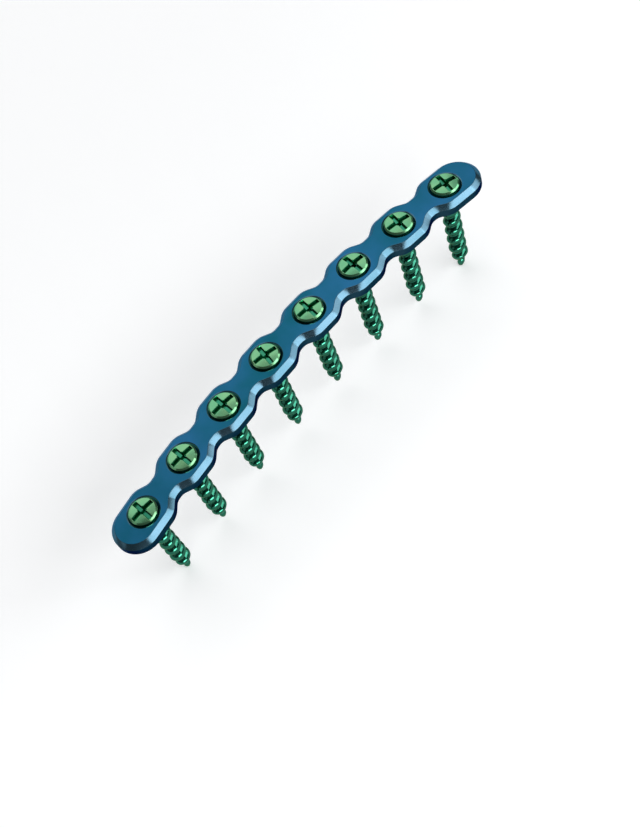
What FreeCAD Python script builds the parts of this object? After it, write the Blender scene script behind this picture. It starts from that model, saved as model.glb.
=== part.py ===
import FreeCAD, Part
import math
import os

from FreeCAD import Placement, Rotation, Vector

# Contoured eight-hole bone plate with a self-drilling bone screw seated in every hole.
# Lengths are in millimetres and angles in degrees. X runs along the plate, Y across it
# and Z away from the bone. The origin is at mid-length, on the face that lies on the bone.

# Plate: a row of lobes, one round each hole, joined by narrow waists
hole_count = 8
hole_pitch = 8.0
plate_thickness = 1.6
lobe_width = 6.4
waist_width = 4.2
lobe_flank = 3.5
waist_flank = 1.2
lobe_corner_radius = 2.2
waist_corner_radius = 1.2
top_bevel = 0.6

# Contour: each waist is bent down over the bone and a little edgewise
bend_angle = 1.68
sweep_angle = 1.49
bend_length = 0.3

# Screw hole: a conical seat, wider at the top than the head, above a clearance bore
seat_angle = 90.0
mouth_clearance = 0.25
bore_clearance = 0.25

# Screw head: its rim stands above the plate and slopes up to a flat crown
head_diameter = 3.7
crown_diameter = 3.2
crown_height = 0.5
rim_height = 0.3

# Cross drive: two crossed slots and a deeper square core
slot_length = 2.9
slot_width = 0.64
slot_depth = 0.55
core_width = 0.9
core_depth = 0.9
drive_turn = -10.0

# Shank below the plate: a plain neck, a right-hand thread and a fluted, tapered tip
thread_diameter = 2.4
root_diameter = 1.7
thread_pitch = 1.65
thread_sides = 8
neck_diameter = 1.6
neck_length = 0.5
shank_length = 13.0
tip_length = 1.5
tip_diameter = 0.8
flute_length = 2.2
flute_angle = 20.0

# The cutting shapes stand this far past the faces that they cut
overshoot = 1.0

# Lengths and areas closer than these are taken as equal
same_length = 1e-6
same_area = 1e-3

lobe_half = lobe_width / 2
waist_half = waist_width / 2
link_half = (hole_pitch - bend_length) / 2
head_radius = head_diameter / 2
thread_radius = thread_diameter / 2
root_radius = root_diameter / 2
neck_radius = neck_diameter / 2
tip_radius = tip_diameter / 2
mouth_radius = head_radius + mouth_clearance
bore_radius = thread_radius + bore_clearance
seat_slope = math.tan(math.radians(seat_angle / 2))
seat_bottom = plate_thickness - (mouth_radius - bore_radius) / seat_slope
cone_foot = seat_bottom - (bore_radius - neck_radius) / seat_slope
head_top = plate_thickness + crown_height


def rounded_wire(corners):
    # Closed wire through (x, y, radius) corners. A corner's arc ends at the middle of a
    # side whose other end is rounded too, so a large radius is limited by its wall.
    points = [Vector(x, y, 0) for x, y, radius in corners]
    radii = [radius for x, y, radius in corners]
    count = len(corners)
    arcs = []
    for index in range(count):
        nearby = (index - 1, (index + 1) % count)
        arms = [points[other] - points[index] for other in nearby]
        rooms = [arm.Length * (0.5 if radii[other] else 1) for arm, other in zip(arms, nearby)]
        half_angle = arms[0].getAngle(arms[1]) / 2
        setback = min(radii[index] / math.tan(half_angle), *rooms)
        before, after = [arm.normalize() for arm in arms]
        start = points[index] + before * setback
        end = points[index] + after * setback
        bisector = (before + after).normalize()
        reach = setback / math.cos(half_angle) - setback * math.tan(half_angle)
        arcs.append((start, points[index] + bisector * reach, end))
    edges = []
    for index, (start, middle, end) in enumerate(arcs):
        if radii[index]:
            edges.append(Part.Arc(start, middle, end).toShape())
        following = arcs[(index + 1) % count][0]
        if end.distanceToPoint(following) > same_length:
            edges.append(Part.LineSegment(end, following).toShape())
    return Part.Wire(edges)


def link_outline(ends_here):
    # Outline of the lobe round one hole. Its +X side is a waist. Its -X side is a waist
    # too, or the plate's full round end.
    lobe_corner = lobe_flank / 2
    waist_corner = (hole_pitch - waist_flank) / 2
    right = [
        (lobe_corner, -lobe_half, lobe_corner_radius),
        (waist_corner, -waist_half, waist_corner_radius),
        (link_half, -waist_half, 0),
    ]
    right += [(x, -y, radius) for x, y, radius in reversed(right)]
    if ends_here:
        end = -lobe_corner - lobe_half
        left = [(end, lobe_half, lobe_half), (end, -lobe_half, lobe_half)]
    else:
        left = [(-x, -y, radius) for x, y, radius in right]
    return rounded_wire(right + left)


def link_blank(ends_here):
    # One lobe as a flat slab with its upper outline bevelled
    blank = Part.Face(link_outline(ends_here)).extrude(Vector(0, 0, plate_thickness))
    outline = []
    for edge in blank.Edges:
        middle = edge.CenterOfMass
        on_top = abs(middle.z - plate_thickness) < same_length
        at_joint = abs(abs(middle.x) - link_half) < same_length
        if on_top and not at_joint:
            outline.append(edge)
    return blank.makeChamfer(top_bevel, outline)


def revolved(profile):
    # Solid of revolution about Z from (radius, height) points
    points = [Vector(radius, 0, height) for radius, height in profile]
    face = Part.Face(Part.makePolygon(points + points[:1]))
    return face.revolve(Vector(0, 0, 0), Vector(0, 0, 1), 360)


def screw_hole():
    return revolved([
        (0, -overshoot),
        (bore_radius, -overshoot),
        (bore_radius, seat_bottom),
        (mouth_radius + overshoot * seat_slope, plate_thickness + overshoot),
        (0, plate_thickness + overshoot),
    ])


def waist_bend():
    # Centre, axis and angle of the bend at the +X end of a link
    angle = math.hypot(bend_angle, sweep_angle)
    radius = bend_length / math.radians(angle)
    axis = Vector(0, bend_angle, -sweep_angle).normalize()
    middle = Vector(link_half, 0, plate_thickness / 2)
    centre = middle + Vector(0, axis.z, -axis.y) * radius
    return centre, axis, angle


def link_places():
    # Where each link lies, counted from -X, with the middle of the plate at the origin
    centre, axis, angle = waist_bend()
    whole_bend = Placement(Vector(), Rotation(axis, angle), centre)
    half_bend = Placement(Vector(), Rotation(axis, angle / 2), centre)
    straight = Placement(Vector(2 * link_half, 0, 0), Rotation())
    places = [Placement()]
    for _ in range(hole_count - 1):
        places.append(places[-1] * whole_bend * straight)
    middle = places[(hole_count - 1) // 2]
    if hole_count % 2 == 0:
        middle = middle * half_bend * Placement(Vector(link_half, 0, 0), Rotation())
    return [middle.inverse() * place for place in places]


def placed(shape, place):
    copy = shape.copy()
    copy.Placement = place * shape.Placement
    return copy


def sewn_solid(faces):
    # One solid from faces that meet edge to edge
    skin = Part.Compound(faces)
    skin.sewShape()
    solid = Part.Solid(skin.Shells[0])
    if solid.Volume < 0:
        solid.reverse()
    return solid


def bone_plate(places):
    # The links and the bends between them share their end sections, which are left out of
    # the plate's skin
    hole = screw_hole()
    inner = link_blank(False).cut(hole)
    first = link_blank(True).cut(hole)
    last = first.copy()
    last.rotate(Vector(), Vector(0, 0, 1), 180)
    section = max(inner.Faces, key=lambda face: face.CenterOfMass.x)
    centre, axis, angle = waist_bend()
    bend = section.revolve(centre, axis, angle)
    pieces = [(first, places[0]), (last, places[-1])]
    pieces += [(inner, place) for place in places[1:-1]]
    pieces += [(bend, place) for place in places[:-1]]
    faces = []
    for piece, place in pieces:
        for face in placed(piece, place).Faces:
            if abs(face.Area - section.Area) > same_area:
                faces.append(face)
    return sewn_solid(faces)


def thread_point(radius, step, lift):
    # Corner of a helix that takes thread_sides straight runs to each turn. It stays inside
    # the neck and the slope below the neck, and it narrows with the cone of the tip.
    angle = 2 * math.pi * step / thread_sides
    height = thread_pitch * (step / thread_sides - 1) + lift - shank_length
    neck_limit = neck_radius + max(0, -neck_length - height)
    taper = (thread_radius - tip_radius) / tip_length
    tip_width = tip_radius + max(0, height + shank_length) * taper
    radius = min(radius, neck_limit) * min(1, tip_width / thread_radius)
    return Vector(radius * math.cos(angle), radius * math.sin(angle), height)


def shank():
    # Two rows of flat facets climb round the rod, from the root up to the crest and from
    # the crest up to the next root. The rod is then cut to length.
    turns = math.ceil((shank_length + seat_bottom) / thread_pitch) + 1
    steps = turns * thread_sides
    root = [thread_point(root_radius, step, 0) for step in range(steps + thread_sides + 1)]
    crest = [thread_point(thread_radius, step, thread_pitch / 2) for step in range(steps + 1)]
    foot = Vector(0, 0, root[0].z)
    top = Vector(0, 0, root[-1].z)
    facets = [
        (foot, root[0], root[thread_sides]),
        (root[0], crest[0], root[thread_sides]),
        (top, root[-1], root[steps]),
        (root[steps], root[-1], crest[-1]),
    ]
    for step in range(steps):
        above = step + thread_sides
        facets.append((root[step], root[step + 1], crest[step]))
        facets.append((root[step + 1], crest[step + 1], crest[step]))
        facets.append((crest[step], crest[step + 1], root[above]))
        facets.append((crest[step + 1], root[above + 1], root[above]))
    for step in range(thread_sides):
        facets.append((foot, root[step + 1], root[step]))
        facets.append((top, root[steps + step], root[steps + step + 1]))
    rod = sewn_solid([Part.Face(Part.makePolygon(facet + facet[:1])) for facet in facets])
    corner = Vector(-thread_diameter, -thread_diameter, -shank_length)
    size = 2 * thread_diameter
    return rod.common(Part.makeBox(size, size, shank_length + cone_foot, corner))


def flute():
    # Slanted notch that opens one side of the tip, with its bottom edge near the axis
    length = flute_length / math.cos(math.radians(flute_angle))
    corner = Vector(0, -thread_diameter, -overshoot)
    notch = Part.makeBox(thread_diameter, thread_diameter, length + overshoot, corner)
    notch.rotate(Vector(), Vector(0, 1, 0), flute_angle)
    notch.translate(Vector(0, 0, -shank_length))
    return notch


def screw_head():
    return revolved([
        (0, cone_foot),
        (neck_radius, cone_foot),
        (head_radius, plate_thickness - mouth_clearance / seat_slope),
        (head_radius, plate_thickness + rim_height),
        (crown_diameter / 2, head_top),
        (0, head_top),
    ])


def cross_drive():
    def pocket(length, width, depth):
        corner = Vector(-length / 2, -width / 2, head_top - depth)
        return Part.makeBox(length, width, depth + overshoot, corner)

    drive = pocket(slot_length, slot_width, slot_depth).multiFuse([
        pocket(slot_width, slot_length, slot_depth),
        pocket(core_width, core_width, core_depth),
    ])
    drive.rotate(Vector(), Vector(0, 0, 1), drive_turn)
    return drive


def bone_screw():
    return screw_head().fuse(shank()).cut([cross_drive(), flute()])


places = link_places()
screw = bone_screw()
parts = {"bone_plate": bone_plate(places)}
for number, place in enumerate(places, start=1):
    parts[f"bone_screw_{number}"] = placed(screw, place)

os.makedirs("parts", exist_ok=True)
for name, shape in parts.items():
    shape.exportStep(f"parts/{name}.step")
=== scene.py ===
import math

import bmesh
import bpy
from mathutils import Matrix, Vector


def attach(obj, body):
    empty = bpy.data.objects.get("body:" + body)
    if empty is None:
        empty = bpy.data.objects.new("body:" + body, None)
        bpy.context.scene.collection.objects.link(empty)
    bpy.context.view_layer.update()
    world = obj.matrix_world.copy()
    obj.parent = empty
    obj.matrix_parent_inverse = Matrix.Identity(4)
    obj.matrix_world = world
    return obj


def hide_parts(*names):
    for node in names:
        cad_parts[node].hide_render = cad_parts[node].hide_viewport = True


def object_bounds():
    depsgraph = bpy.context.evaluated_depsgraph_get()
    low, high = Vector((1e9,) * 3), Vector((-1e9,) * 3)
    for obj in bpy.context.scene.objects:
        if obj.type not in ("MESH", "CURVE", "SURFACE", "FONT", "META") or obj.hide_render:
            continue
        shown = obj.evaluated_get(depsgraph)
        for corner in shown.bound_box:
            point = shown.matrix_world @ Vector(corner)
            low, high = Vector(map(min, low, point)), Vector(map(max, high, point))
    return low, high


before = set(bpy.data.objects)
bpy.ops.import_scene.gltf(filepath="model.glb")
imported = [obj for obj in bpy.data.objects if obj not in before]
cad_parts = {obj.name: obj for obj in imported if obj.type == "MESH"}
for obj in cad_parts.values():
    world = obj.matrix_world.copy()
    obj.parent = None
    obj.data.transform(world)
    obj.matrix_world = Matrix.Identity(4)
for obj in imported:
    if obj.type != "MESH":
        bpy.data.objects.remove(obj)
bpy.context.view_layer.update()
print("frame loaded")

mmPerMetre = 1000
metres = Matrix.Scale(1 / mmPerMetre, 4)  # shapes are made in millimetres and brought to metres last
near = 0.001  # mm; points nearer than this are one point
levelNormal = 0.99  # a face whose normal has more Z than this is level

# The row of holes, as in the part's source: pitch, and the bends at the waists, in mm and degrees
row = {
    "holes": 8,
    "pitch": 8.0,
    "thick": 1.6,
    "bend": 1.68,
    "sweep": 1.49,
    "bendLength": 0.3,
}
linkHalf = (row["pitch"] - row["bendLength"]) / 2


def bendTurn(share):  # the waist bend at a link's +X end, or a share of it
    bend = math.radians(row["bend"])
    sweep = math.radians(row["sweep"])
    angle = math.hypot(bend, sweep)
    axis = Vector((0, bend, -sweep)).normalized()
    radius = row["bendLength"] / angle
    centre = Vector((linkHalf, 0, row["thick"] / 2)) + Vector((0, axis.z, -axis.y)) * radius
    turn = Matrix.Rotation(angle * share, 4, axis)
    return Matrix.Translation(centre) @ turn @ Matrix.Translation(-centre)


def linkPlaces():  # one place for each hole, with the middle of the plate at the origin
    step = bendTurn(1) @ Matrix.Translation((2 * linkHalf, 0, 0))
    places = [Matrix.Identity(4)]
    while len(places) < row["holes"]:
        places.append(places[-1] @ step)
    middle = places[row["holes"] // 2 - 1] @ bendTurn(0.5) @ Matrix.Translation((linkHalf, 0, 0))
    return [middle.inverted() @ place for place in places]


links = linkPlaces()


def bentPoint(point):  # a point of the straight plate, carried onto the bent one
    link = int(point.x / row["pitch"] + row["holes"] / 2)
    link = min(max(link, 0), row["holes"] - 1)
    x = point.x - (link + 0.5 - row["holes"] / 2) * row["pitch"]
    if x < -linkHalf and link > 0:
        link -= 1
        x += row["pitch"]
    place = links[link]
    if x > linkHalf and link < row["holes"] - 1:
        place = place @ bendTurn((x - linkHalf) / row["bendLength"])
        x = linkHalf
    return place @ Vector((x, point.y, point.z))


def spunProfile(bm, profile, steps, centre=(0, 0, 0)):  # (radius, height) points turned about Z
    verts = [bm.verts.new((centre[0] + radius, centre[1], height)) for radius, height in profile]
    edges = [bm.edges.new(pair) for pair in zip(verts, verts[1:])]
    bmesh.ops.spin(
        bm, geom=verts + edges, cent=centre, axis=(0, 0, 1), angle=2 * math.pi,
        steps=steps, use_merge=True,
    )


def roundedEdges(bm, edges, width, segments):
    bmesh.ops.bevel(
        bm, geom=list(edges), offset=width, offset_type="OFFSET", affect="EDGES",
        segments=segments, profile=0.5, material=-1, clamp_overlap=True,
    )


def looseObject(name, bm):
    mesh = bpy.data.meshes.new(name)
    bm.to_mesh(mesh)
    bm.free()
    made = bpy.data.objects.new(name, mesh)
    bpy.context.scene.collection.objects.link(made)
    return made


def finishedPiece(name, bm, materials, node, flats=(), sharpest=32):
    for face in bm.faces:
        face.smooth = True
    for edge in bm.edges:  # creases past so many degrees are sharp, and so is the rim of a flat face
        fromFlat = sum(face in flats for face in edge.link_faces) == 1
        edge.smooth = not fromFlat and edge.calc_face_angle(0) < math.radians(sharpest)
    piece = looseObject(name, bm)
    for material in materials:
        piece.data.materials.append(material)
    shading = piece.modifiers.new("Flat faces stay flat", "WEIGHTED_NORMAL")
    shading.keep_sharp = True
    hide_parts(node)
    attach(piece, "root")


# The pattern that every anodised finish shares
skinPattern = {
    "cloudDetail": 3,
    "cloudLow": 0.35,
    "cloudHigh": 0.65,
    "grainDetail": 2,
    "grainDepth": 0.00001,
}


def nodeGroup(name, inputs, outputs):
    group = bpy.data.node_groups.new(name, "ShaderNodeTree")
    for label, kind, value in inputs:
        socket = group.interface.new_socket(label, in_out="INPUT", socket_type=kind)
        socket.default_value = value
    for label, kind in outputs:
        group.interface.new_socket(label, in_out="OUTPUT", socket_type=kind)
    return group, group.nodes.new("NodeGroupInput"), group.nodes.new("NodeGroupOutput")


def anodisedSkin():  # cloudy tint, fine blasted grain and uneven gloss of an anodised metal
    group, given, result = nodeGroup(
        "anodisedSkin",
        [
            ("Color", "NodeSocketColor", (0.1, 0.1, 0.1, 1)),
            ("Tint", "NodeSocketColor", (0.2, 0.2, 0.2, 1)),
            ("Cloud Scale", "NodeSocketFloat", 150),
            ("Grain Scale", "NodeSocketFloat", 9000),
            ("Grain Height", "NodeSocketFloat", 0.1),
            ("Gloss", "NodeSocketFloat", 0.25),
            ("Dull", "NodeSocketFloat", 0.35),
        ],
        [
            ("Color", "NodeSocketColor"),
            ("Roughness", "NodeSocketFloat"),
            ("Normal", "NodeSocketVector"),
        ],
    )
    make = group.nodes.new
    join = group.links.new
    place = make("ShaderNodeTexCoord")
    clouds = make("ShaderNodeTexNoise")
    clouds.inputs["Detail"].default_value = skinPattern["cloudDetail"]
    join(place.outputs["Object"], clouds.inputs["Vector"])
    join(given.outputs["Cloud Scale"], clouds.inputs["Scale"])
    spread = make("ShaderNodeMapRange")
    spread.inputs["From Min"].default_value = skinPattern["cloudLow"]
    spread.inputs["From Max"].default_value = skinPattern["cloudHigh"]
    join(clouds.outputs["Fac"], spread.inputs["Value"])
    mixed = make("ShaderNodeMix")
    mixed.data_type = "RGBA"
    join(spread.outputs["Result"], mixed.inputs["Factor"])
    join(given.outputs["Color"], mixed.inputs["A"])
    join(given.outputs["Tint"], mixed.inputs["B"])
    join(mixed.outputs["Result"], result.inputs["Color"])
    grain = make("ShaderNodeTexNoise")
    grain.inputs["Detail"].default_value = skinPattern["grainDetail"]
    join(place.outputs["Object"], grain.inputs["Vector"])
    join(given.outputs["Grain Scale"], grain.inputs["Scale"])
    gloss = make("ShaderNodeMapRange")
    join(grain.outputs["Fac"], gloss.inputs["Value"])
    join(given.outputs["Gloss"], gloss.inputs["To Min"])
    join(given.outputs["Dull"], gloss.inputs["To Max"])
    join(gloss.outputs["Result"], result.inputs["Roughness"])
    bump = make("ShaderNodeBump")
    bump.inputs["Distance"].default_value = skinPattern["grainDepth"]
    join(given.outputs["Grain Height"], bump.inputs["Strength"])
    join(grain.outputs["Fac"], bump.inputs["Height"])
    join(bump.outputs["Normal"], result.inputs["Normal"])
    return group


skin = anodisedSkin()


def anodisedMetal(name, look):
    material = bpy.data.materials.new(name)
    material.use_nodes = True
    nodes = material.node_tree.nodes
    join = material.node_tree.links.new
    shader = nodes["Principled BSDF"]
    shader.inputs["Metallic"].default_value = 1
    shader.inputs["Coat Weight"].default_value = look["coat"]
    shader.inputs["Coat Roughness"].default_value = look["coatRoughness"]
    shader.inputs["Specular Tint"].default_value = (*look["edge"], 1)
    surface = nodes.new("ShaderNodeGroup")
    surface.node_tree = skin
    surface.inputs["Color"].default_value = (*look["color"], 1)
    surface.inputs["Tint"].default_value = (*look["tint"], 1)
    surface.inputs["Cloud Scale"].default_value = look["cloudScale"]
    surface.inputs["Grain Scale"].default_value = look["grainScale"]
    surface.inputs["Grain Height"].default_value = look["grainHeight"]
    surface.inputs["Gloss"].default_value = look["gloss"]
    surface.inputs["Dull"].default_value = look["dull"]
    join(surface.outputs["Color"], shader.inputs["Base Color"])
    join(surface.outputs["Roughness"], shader.inputs["Roughness"])
    join(surface.outputs["Normal"], shader.inputs["Normal"])
    return material


blueFace = anodisedMetal("blue anodised face", {
    "color": (0.002, 0.09, 0.138), "tint": (0.014, 0.114, 0.24), "cloudScale": 130,
    "grainScale": 7000, "grainHeight": 0.12, "gloss": 0.27, "dull": 0.35,
    "coat": 0.1, "coatRoughness": 0.1, "edge": (0.3, 0.5, 0.8),
})
# A darker copy of the plate's blue: painted shade on the upright wall and underside
blueWallPaintedShade = anodisedMetal("blue anodised wall with painted shade", {
    "color": (0.011, 0.034, 0.05), "tint": (0.016, 0.044, 0.064), "cloudScale": 150,
    "grainScale": 7000, "grainHeight": 0.12, "gloss": 0.3, "dull": 0.4,
    "coat": 0, "coatRoughness": 0.15, "edge": (0.1, 0.25, 0.4),
})
# A lighter, glossier copy of the plate's blue: painted highlight on the bevels and hole mouths
blueBevelPaintedHighlight = anodisedMetal("blue anodised bevel with painted highlight", {
    "color": (0.056, 0.135, 0.185), "tint": (0.078, 0.16, 0.22), "cloudScale": 300,
    "grainScale": 9000, "grainHeight": 0.1, "gloss": 0.17, "dull": 0.25,
    "coat": 0.15, "coatRoughness": 0.12, "edge": (0.2, 0.4, 0.6),
})
# The screw is one anodised green in three copies; the head's lighter yellow-green is painted light
greenHeadPaintedLight = anodisedMetal("yellow-green anodised head with painted light", {
    "color": (0.12, 0.36, 0.19), "tint": (0.17, 0.40, 0.20), "cloudScale": 500,
    "grainScale": 9000, "grainHeight": 0.05, "gloss": 0.14, "dull": 0.22,
    "coat": 0.12, "coatRoughness": 0.1, "edge": (0.5, 0.9, 0.6),
})
# A darker copy of the screw's green: painted shade on the shank
greenShankPaintedShade = anodisedMetal("emerald anodised shank with painted shade", {
    "color": (0.006, 0.098, 0.058), "tint": (0.012, 0.132, 0.082), "cloudScale": 400,
    "grainScale": 9000, "grainHeight": 0.04, "gloss": 0.12, "dull": 0.2,
    "coat": 0.3, "coatRoughness": 0.08, "edge": (0.1, 0.5, 0.34),
})
# A deeper copy of the screw's green: painted shade in the drive's recess
greenSlotPaintedShade = anodisedMetal("deep green anodised drive with painted shade", {
    "color": (0.008, 0.16, 0.085), "tint": (0.016, 0.22, 0.12), "cloudScale": 600,
    "grainScale": 9000, "grainHeight": 0.05, "gloss": 0.14, "dull": 0.2,
    "coat": 0.4, "coatRoughness": 0.08, "edge": (0.3, 0.8, 0.5),
})
print("materials made")

# The plate, made straight and then bent at its waists; sizes in mm
plate = {
    "lobeWidth": 6.4,
    "waistWidth": 4.2,
    "lobeFlank": 3.5,
    "waistFlank": 1.2,
    "lobeRound": 2.2,
    "waistRound": 1.2,
    "topBevel": 0.6,
    "edgeRound": 0.03,
    "edgeSteps": 3,
    "cornerSteps": 7,
    "endSteps": 20,
    "mouthRadius": 2.1,
    "mouthRound": 0.08,
    "boreRadius": 1.45,
    "seatBottom": 0.95,
    "holeSteps": 72,
    "paintedHighlightNormal": 0.97,  # a top face whose normal has less Z than this gets the bevels' painted highlight
}
plateFinishes = [blueFace, blueWallPaintedShade, blueBevelPaintedHighlight]
faceFinish, paintedShadeWall, paintedHighlightBevel = range(3)


def plateOutline(bm):  # a face with the outline of the straight plate
    lobe = plate["lobeWidth"] / 2
    waist = plate["waistWidth"] / 2
    lobeX = plate["lobeFlank"] / 2
    waistX = (row["pitch"] - plate["waistFlank"]) / 2
    last = row["holes"] - 1
    corners = []
    for hole in range(row["holes"]):
        centre = (hole - last / 2) * row["pitch"]
        if hole == 0:
            corners.append((centre - lobeX - lobe, lobe, "end"))
        else:
            corners += [(centre - waistX, waist, "waist"), (centre - lobeX, lobe, "lobe")]
        if hole == last:
            corners.append((centre + lobeX + lobe, lobe, "end"))
        else:
            corners += [(centre + lobeX, lobe, "lobe"), (centre + waistX, waist, "waist")]
    ring = [(x, -y, kind) for x, y, kind in corners] + corners[::-1]
    verts = [bm.verts.new((x, y, 0)) for x, y, kind in ring]
    bm.faces.new(verts)
    slope = math.atan2(lobe - waist, waistX - lobeX)
    setbacks = {
        "lobe": (plate["lobeRound"] * math.tan(slope / 2), plate["cornerSteps"]),
        "waist": (plate["waistRound"] * math.tan(slope / 2), plate["cornerSteps"]),
        "end": (lobe, plate["endSteps"]),
    }
    for kind, (setback, steps) in setbacks.items():
        chosen = [vert for vert, corner in zip(verts, ring) if corner[2] == kind]
        bmesh.ops.bevel(
            bm, geom=chosen, offset=setback, offset_type="OFFSET", affect="VERTICES",
            segments=steps, profile=0.5, material=-1, clamp_overlap=False,
        )
    bmesh.ops.remove_doubles(bm, verts=bm.verts[:], dist=near)


def openedFace(bm, centre, height, radius):  # a round opening in the level face of one lobe
    reach = row["pitch"] * 0.9  # no face of this lobe goes farther from its hole
    faces = [
        face for face in bm.faces
        if abs(face.calc_center_median().z - height) < near and abs(face.normal.z) > levelNormal
        and all(abs(vert.co.x - centre) < reach for vert in face.verts)
    ]
    face = min(faces, key=lambda face: abs(face.calc_center_bounds().x - centre) - face.calc_area())
    rim = list(face.edges)
    bmesh.ops.delete(bm, geom=[face], context="FACES_ONLY")
    circle = bmesh.ops.create_circle(
        bm, cap_ends=False, radius=radius, segments=plate["holeSteps"],
        matrix=Matrix.Translation((centre, 0, height)),
    )
    rim += dict.fromkeys(edge for vert in circle["verts"] for edge in vert.link_edges)
    bmesh.ops.triangle_fill(bm, use_beauty=True, edges=rim, normal=(0, 0, 1))


def cutHole(bm, centre):  # opens the top and the underside of one lobe and lines the hole
    thick = row["thick"]
    mouth = plate["mouthRadius"]
    bore = plate["boreRadius"]
    seat = plate["seatBottom"]
    lip = plate["mouthRound"]
    lipMiddle = lip * 0.3  # the middle of a rounded lip stands this far from its corner
    seatRound = lip * 0.4  # the seat runs into the bore over this much
    openedFace(bm, centre, thick, mouth + lip)
    openedFace(bm, centre, 0, bore + lip)
    spunProfile(bm, [
        (mouth + lip, thick),
        (mouth + lipMiddle, thick - lipMiddle),
        (mouth - lip, thick - lip),
        (bore + seatRound, seat + seatRound),
        (bore, seat - seatRound),
        (bore, lip),
        (bore + lipMiddle, lipMiddle),
        (bore + lip, 0),
    ], plate["holeSteps"], (centre, 0, 0))


def straightPlate():  # bevelled, rounded, divided at its bends and drilled
    thick = row["thick"]
    bevel = plate["topBevel"]
    bm = bmesh.new()
    plateOutline(bm)
    raised = bmesh.ops.extrude_face_region(bm, geom=bm.faces[:])["geom"]
    raisedVerts = [item for item in raised if isinstance(item, bmesh.types.BMVert)]
    bmesh.ops.translate(bm, verts=raisedVerts, vec=(0, 0, thick - bevel))
    bmesh.ops.recalc_face_normals(bm, faces=bm.faces[:])
    top = [face for face in bm.faces if face.normal.z > levelNormal]
    bmesh.ops.inset_region(
        bm, faces=top, thickness=bevel, depth=bevel, use_even_offset=True, use_boundary=True,
    )
    outline = [
        edge for edge in bm.edges
        if any(all(abs(vert.co.z - height) < near for vert in edge.verts) for height in (0, thick))
    ]
    roundedEdges(bm, outline, plate["edgeRound"], plate["edgeSteps"])
    middle = (row["holes"] - 1) / 2
    for joint in range(row["holes"] - 1):
        for side in (-0.5, 0, 0.5):
            x = (joint + 0.5 - middle) * row["pitch"] + side * row["bendLength"]
            bmesh.ops.bisect_plane(
                bm, geom=bm.verts[:] + bm.edges[:] + bm.faces[:],
                plane_co=(x, 0, 0), plane_no=(1, 0, 0),
            )
    for hole in range(row["holes"]):
        cutHole(bm, (hole - middle) * row["pitch"])
    bmesh.ops.remove_doubles(bm, verts=bm.verts[:], dist=2 * near)
    bmesh.ops.recalc_face_normals(bm, faces=bm.faces[:])
    return bm


def bonePlate():
    bm = straightPlate()
    wallTop = row["thick"] - plate["topBevel"]
    mouthInside = plate["mouthRadius"] - plate["mouthRound"]
    mouthOutside = plate["mouthRadius"] + plate["mouthRound"]
    for face in bm.faces:  # painted highlight as a lighter blue on bevels and hole mouths, painted shade as a darker blue on the upright wall and underside
        spot = face.calc_center_median()
        along = spot.x + row["holes"] * row["pitch"] / 2
        fromHole = math.hypot(along % row["pitch"] - row["pitch"] / 2, spot.y)
        if fromHole < mouthOutside:
            isMouth = fromHole > mouthInside and spot.z > wallTop
            face.material_index = paintedHighlightBevel if isMouth else faceFinish
        elif spot.z < wallTop:
            face.material_index = paintedShadeWall
        else:
            isBevel = face.normal.z < plate["paintedHighlightNormal"]
            face.material_index = paintedHighlightBevel if isBevel else faceFinish
    flats = {
        face for face in bm.faces
        if max(abs(vert.co.z - face.verts[0].co.z) for vert in face.verts) < near
    }
    for vert in bm.verts:
        vert.co = bentPoint(vert.co)
    bmesh.ops.transform(bm, matrix=metres, verts=bm.verts[:])
    finishedPiece("contouredPlate", bm, plateFinishes, "bone_plate", flats)


bonePlate()
print("bone plate made")

# One upright screw, copied into every hole; sizes in mm, turns of the drive in degrees
screw = {
    "headRadius": 1.85,
    "crownRadius": 1.66,
    "crownRings": 5,
    "headTop": 2.1,
    "crownEdge": 1.984,
    "rimSide": 1.825,
    "rimBottom": 1.35,
    "coneFoot": 0.3,
    "headSteps": 64,
    "slotLength": 3.2,
    "slotWidth": 0.64,
    "slotDepth": 0.55,
    "slotDraft": 0.13,
    "slotRound": 0.035,
    "slotSteps": 2,
    "coreWidth": 0.9,
    "coreDepth": 0.9,
    "turns": (-10.9, -9.4, -8.4, -15.5, -8.5, -3.2, -9.0, -9.5),
}
screwFinishes = [greenHeadPaintedLight, greenShankPaintedShade, greenSlotPaintedShade]
paintedLightHead, paintedShadeShank, paintedShadeSlot = range(3)

# Its shank below the plate; profile is the rise from root to crest and back, along one pitch
thread = {
    "radius": 1.2,
    "root": 0.72,
    "pitch": 1.65,
    "profile": (0, 0.06, 0.42, 0.68, 0.86, 0.96, 1.0, 0.96, 0.86, 0.68, 0.42, 0.06, 0),
    "steps": 48,
    "phase": 0.02,
    "spareTurns": 2,
    "neckRadius": 0.8,
    "neckLength": 0.5,
    "length": 13.0,
    "top": 0.6,
    "tipLength": 2.3,
    "tipRadius": 0.4,
    "fluteLength": 2.2,
    "fluteAngle": 20,
    "fluteOverrun": 1,
}


def sunkRegion(bm, faces, height):  # lowers a region of faces and gives back its floor's points
    moved = bmesh.ops.extrude_face_region(bm, geom=faces)["geom"]
    bmesh.ops.delete(bm, geom=[face for face in faces if face.is_valid], context="FACES")
    lowered = {item for item in moved if isinstance(item, bmesh.types.BMVert)}
    for vert in lowered:
        vert.co.z = height
    return lowered


def drawnIn(verts, walls, draft):  # leans the walls that stand at these distances from the middle
    for vert in verts:
        for axis in (0, 1):
            if any(abs(abs(vert.co[axis]) - wall) < near / 10 for wall in walls):
                vert.co[axis] -= math.copysign(draft, vert.co[axis])


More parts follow.
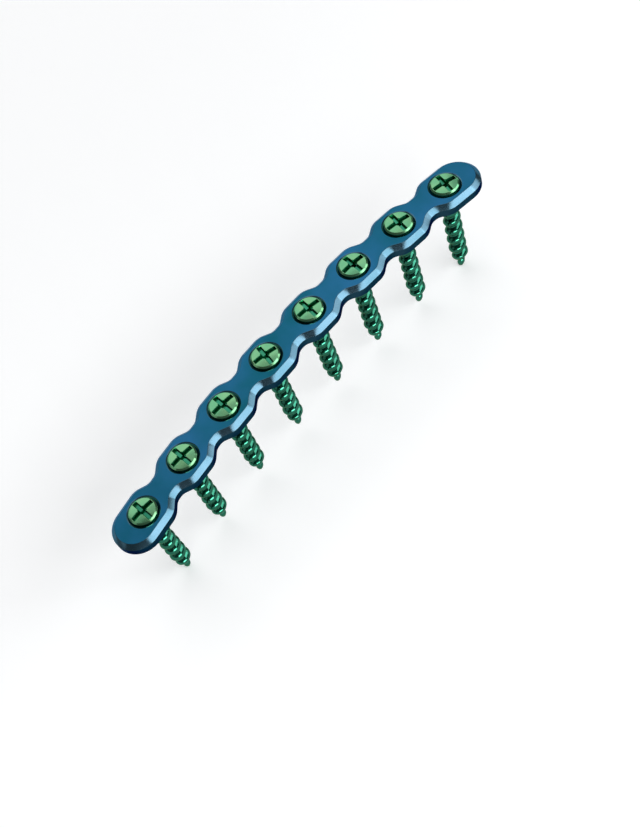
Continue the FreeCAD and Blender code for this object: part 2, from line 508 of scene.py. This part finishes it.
def headBlank():
    rings = screw["crownRings"]
    rise = screw["headTop"] - screw["crownEdge"]
    profile = [
        (screw["crownRadius"] * ring / rings, screw["headTop"] - rise * (ring / rings) ** 2)
        for ring in range(rings + 1)
    ]
    profile += [
        (screw["headRadius"], screw["rimSide"]),
        (screw["headRadius"], screw["rimBottom"]),
        (thread["neckRadius"], screw["coneFoot"]),
        (0, screw["coneFoot"]),
    ]
    bm = bmesh.new()
    spunProfile(bm, profile, screw["headSteps"])
    bmesh.ops.remove_doubles(bm, verts=bm.verts[:], dist=near)
    bmesh.ops.recalc_face_normals(bm, faces=bm.faces[:])
    return bm


def dividedCrown(bm, offsets):  # cuts the crown along both sides of every wall of the drive
    for offset in offsets:
        for normal in ((1, 0, 0), (-1, 0, 0), (0, 1, 0), (0, -1, 0)):
            crown = [face for face in bm.faces if face.calc_center_median().z > screw["crownEdge"]]
            geom = dict.fromkeys(crown)  # each item once, in a steady order
            for face in crown:
                geom.update(dict.fromkeys([*face.edges, *face.verts]))
            bmesh.ops.bisect_plane(
                bm, geom=list(geom), plane_co=Vector(normal) * offset, plane_no=normal,
                dist=near / 100,
            )


def screwHead():
    bm = headBlank()
    halfLength = screw["slotLength"] / 2
    halfWidth = screw["slotWidth"] / 2
    halfCore = screw["coreWidth"] / 2
    dividedCrown(bm, (halfLength, halfWidth, halfCore))

    def within(face, halfX, halfY):
        middle = face.calc_center_median()
        return abs(middle.x) < halfX and abs(middle.y) < halfY and middle.z > screw["crownEdge"]

    cross = [
        face for face in bm.faces
        if within(face, halfLength, halfWidth) or within(face, halfWidth, halfLength)
        or within(face, halfCore, halfCore)
    ]
    crossSet = set(cross)
    mouth = [
        edge for edge in dict.fromkeys(edge for face in cross for edge in face.edges)
        if sum(face in crossSet for face in edge.link_faces) == 1
    ]
    before = set(bm.faces)
    draft = screw["slotDraft"]
    deep = sunkRegion(bm, cross, screw["headTop"] - screw["slotDepth"])
    rim = {
        vert for vert in deep
        if any(edge.verts[0].co.z != edge.verts[1].co.z for edge in vert.link_edges)
    }
    drawnIn(rim, (halfLength, halfWidth), draft)
    drawnIn(deep, (halfCore,), draft)
    core = [
        face for face in bm.faces
        if all(vert in deep and max(abs(vert.co.x), abs(vert.co.y)) < halfCore for vert in face.verts)
    ]
    pit = sunkRegion(bm, core, screw["headTop"] - screw["coreDepth"])
    drawnIn(pit, (halfCore - draft,), draft)
    # the recess gets the deep green as painted shade, the rest of the head the lighter green as
    # painted light
    for face in bm.faces:
        face.material_index = paintedLightHead if face in before else paintedShadeSlot
    mouth = [edge for edge in mouth if edge.is_valid]
    roundedEdges(bm, mouth, screw["slotRound"], screw["slotSteps"])
    bmesh.ops.recalc_face_normals(bm, faces=bm.faces[:])
    return bm


def limitedRadius(vert):  # keeps the thread inside the neck and its run-out, and narrows it at the tip
    height = vert.co.z
    neck = thread["neckRadius"] + max(0, -thread["neckLength"] - height)
    taper = (thread["radius"] - thread["tipRadius"]) / thread["tipLength"]
    tip = thread["tipRadius"] + max(0, height + thread["length"]) * taper
    radius = math.hypot(vert.co.x, vert.co.y)
    vert.co.xy *= min(1, neck / radius) * min(1, tip / thread["radius"])


def screwShank():
    bm = bmesh.new()
    pitch = thread["pitch"]
    points = len(thread["profile"]) - 1
    verts = []
    for index, share in enumerate(thread["profile"]):
        radius = thread["root"] + (thread["radius"] - thread["root"]) * share
        turn = index / points + thread["phase"] - thread["spareTurns"]
        verts.append(bm.verts.new((radius, 0, pitch * turn - thread["length"])))
    edges = [bm.edges.new(pair) for pair in zip(verts, verts[1:])]
    turns = math.ceil((thread["length"] + thread["top"]) / pitch) + thread["spareTurns"]
    steps = thread["steps"]
    bmesh.ops.spin(
        bm, geom=verts + edges, cent=(0, 0, 0), axis=(0, 0, 1), dvec=(0, 0, pitch / steps),
        angle=2 * math.pi * turns, steps=steps * turns, use_merge=False,
    )
    bmesh.ops.remove_doubles(bm, verts=bm.verts[:], dist=near)
    for vert in bm.verts:
        limitedRadius(vert)
    for height, normal in ((thread["top"], (0, 0, 1)), (-thread["length"], (0, 0, -1))):
        cut = bmesh.ops.bisect_plane(
            bm, geom=bm.verts[:] + bm.edges[:] + bm.faces[:], plane_co=(0, 0, height),
            plane_no=normal, clear_outer=True,
        )
        ring = [item for item in cut["geom_cut"] if isinstance(item, bmesh.types.BMEdge)]
        bmesh.ops.contextual_create(bm, geom=ring)
    bmesh.ops.recalc_face_normals(bm, faces=bm.faces[:])
    return bm


def fluteCutter():  # a block that leans over the tip and takes out its flute
    bm = bmesh.new()
    size = 2 * thread["radius"]
    angle = math.radians(thread["fluteAngle"])
    overrun = thread["fluteOverrun"]
    length = thread["fluteLength"] / math.cos(angle) + overrun
    bmesh.ops.create_cube(bm, size=1)
    bmesh.ops.scale(bm, vec=(size, size, length), verts=bm.verts[:])
    bmesh.ops.translate(bm, vec=(size / 2, -size / 2, length / 2 - overrun), verts=bm.verts[:])
    seat = Matrix.Translation((0, 0, -thread["length"])) @ Matrix.Rotation(angle, 4, "Y")
    bmesh.ops.transform(bm, matrix=seat, verts=bm.verts[:])
    return bm


def screwMesh():  # head, drive, thread and fluted tip of one upright screw
    shank = looseObject("shank blank", screwShank())
    cutter = looseObject("flute cutter", fluteCutter())
    flute = shank.modifiers.new("Flute", "BOOLEAN")
    flute.object = cutter
    flute.operation = "DIFFERENCE"
    flute.solver = "EXACT"
    graph = bpy.context.evaluated_depsgraph_get()
    fluted = bpy.data.meshes.new_from_object(shank.evaluated_get(graph))
    for spare in (shank, cutter):
        bpy.data.objects.remove(spare)
    bm = screwHead()
    headFaces = set(bm.faces)
    bm.from_mesh(fluted)
    # the shank gets the darker emerald as painted shade
    for face in bm.faces:
        if face not in headFaces:
            face.material_index = paintedShadeShank
    mesh = bpy.data.meshes.new("upright screw")
    bm.to_mesh(mesh)
    bm.free()
    return mesh


upright = screwMesh()
for number, (place, turn) in enumerate(zip(links, screw["turns"]), start=1):
    bm = bmesh.new()
    bm.from_mesh(upright)
    seat = metres @ place @ Matrix.Rotation(math.radians(turn), 4, "Z")
    bmesh.ops.transform(bm, matrix=seat, verts=bm.verts[:])
    finishedPiece(
        f"boneScrew_{number}", bm, screwFinishes, f"bone_screw_{number}",
    )
bpy.data.meshes.remove(upright)
print("bone screws made")

# Floor and world, camera and softboxes; places and lamp sizes in mm, the floor's size in metres
studio = {
    "floorColor": (0.86, 0.87, 0.88),
    "floorRoughness": 0.8,
    "floorSize": 3.0,
    "floorGlow": 0.25,
    "world": (0.14, 0.14, 0.14),
    "camera": (-87.629, -167.306, 236.401),
    "cameraTurn": (34.1205, 14.7391, -48.0558),
    "lens": 108.696,
    "sensorWidth": 36,
    "clipStart": 0.01,
    # name: azimuth, elevation, distance, width, height, strength
    "lamps": {
        "front softbox": (-78, 36, 300, 310, 110, 4.4),
        "right softbox": (-34, 22, 300, 200, 110, 2.7),
        "low front softbox": (-128, 6, 300, 210, 76, 15),
        "back softbox": (68, 40, 320, 310, 220, 0.6),
        "wide back softbox": (68, 45, 320, 430, 310, 0.65),
        "left softbox": (148, 18, 320, 200, 120, 0.5),
        "top softbox": (-90, 88, 400, 300, 260, 1.0),
    },
}


def softbox(name, azimuth, elevation, distance, width, height, strength):
    lamp = bpy.data.lights.new(name, "AREA")
    lamp.shape = "RECTANGLE"
    lamp.size = width / mmPerMetre
    lamp.size_y = height / mmPerMetre
    lamp.energy = strength * math.pi * lamp.size * lamp.size_y  # the face is as bright at any size
    made = bpy.data.objects.new(name, lamp)
    bpy.context.scene.collection.objects.link(made)
    around = math.radians(azimuth)
    up = math.radians(elevation)
    towards = Vector((math.cos(up) * math.cos(around), math.cos(up) * math.sin(around), math.sin(up)))
    made.location = towards * distance / mmPerMetre
    made.rotation_euler = towards.to_track_quat("Z", "Y").to_euler()


for lampName, settings in studio["lamps"].items():
    softbox(lampName, *settings)

floorMesh = bmesh.new()
bmesh.ops.create_grid(floorMesh, x_segments=1, y_segments=1, size=studio["floorSize"] / 2)
bmesh.ops.translate(floorMesh, verts=floorMesh.verts[:], vec=(0, 0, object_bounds()[0].z))
floor = looseObject("studioFloor", floorMesh)
floorPaint = bpy.data.materials.new("pale floor")
floorPaint.use_nodes = True
floorNodes = floorPaint.node_tree.nodes
floorJoin = floorPaint.node_tree.links.new
floorShader = floorNodes["Principled BSDF"]
floorShader.inputs["Base Color"].default_value = (*studio["floorColor"], 1)
floorShader.inputs["Roughness"].default_value = studio["floorRoughness"]
floorShader.inputs["Emission Color"].default_value = (1, 1, 1, 1)
rays = floorNodes.new("ShaderNodeLightPath")
seen = floorNodes.new("ShaderNodeMath")  # the glow shows to the camera and in reflections alone
seen.operation = "MAXIMUM"
glow = floorNodes.new("ShaderNodeMath")
glow.operation = "MULTIPLY"
glow.inputs[1].default_value = studio["floorGlow"]
floorJoin(rays.outputs["Is Camera Ray"], seen.inputs[0])
floorJoin(rays.outputs["Is Glossy Ray"], seen.inputs[1])
floorJoin(seen.outputs["Value"], glow.inputs[0])
floorJoin(glow.outputs["Value"], floorShader.inputs["Emission Strength"])
floor.data.materials.append(floorPaint)

world = bpy.data.worlds.new("studio")
bpy.context.scene.world = world
world.use_nodes = True
world.node_tree.nodes["Background"].inputs["Color"].default_value = (*studio["world"], 1)

cameraData = bpy.data.cameras.new("camera")
cameraData.sensor_width = studio["sensorWidth"]
cameraData.lens = studio["lens"]
cameraData.clip_start = studio["clipStart"]
camera = bpy.data.objects.new("camera", cameraData)
camera.location = Vector(studio["camera"]) / mmPerMetre
camera.rotation_euler = [math.radians(angle) for angle in studio["cameraTurn"]]
bpy.context.scene.collection.objects.link(camera)
bpy.context.scene.camera = camera
bpy.context.scene.view_settings.view_transform = "Standard"
print("studio made")
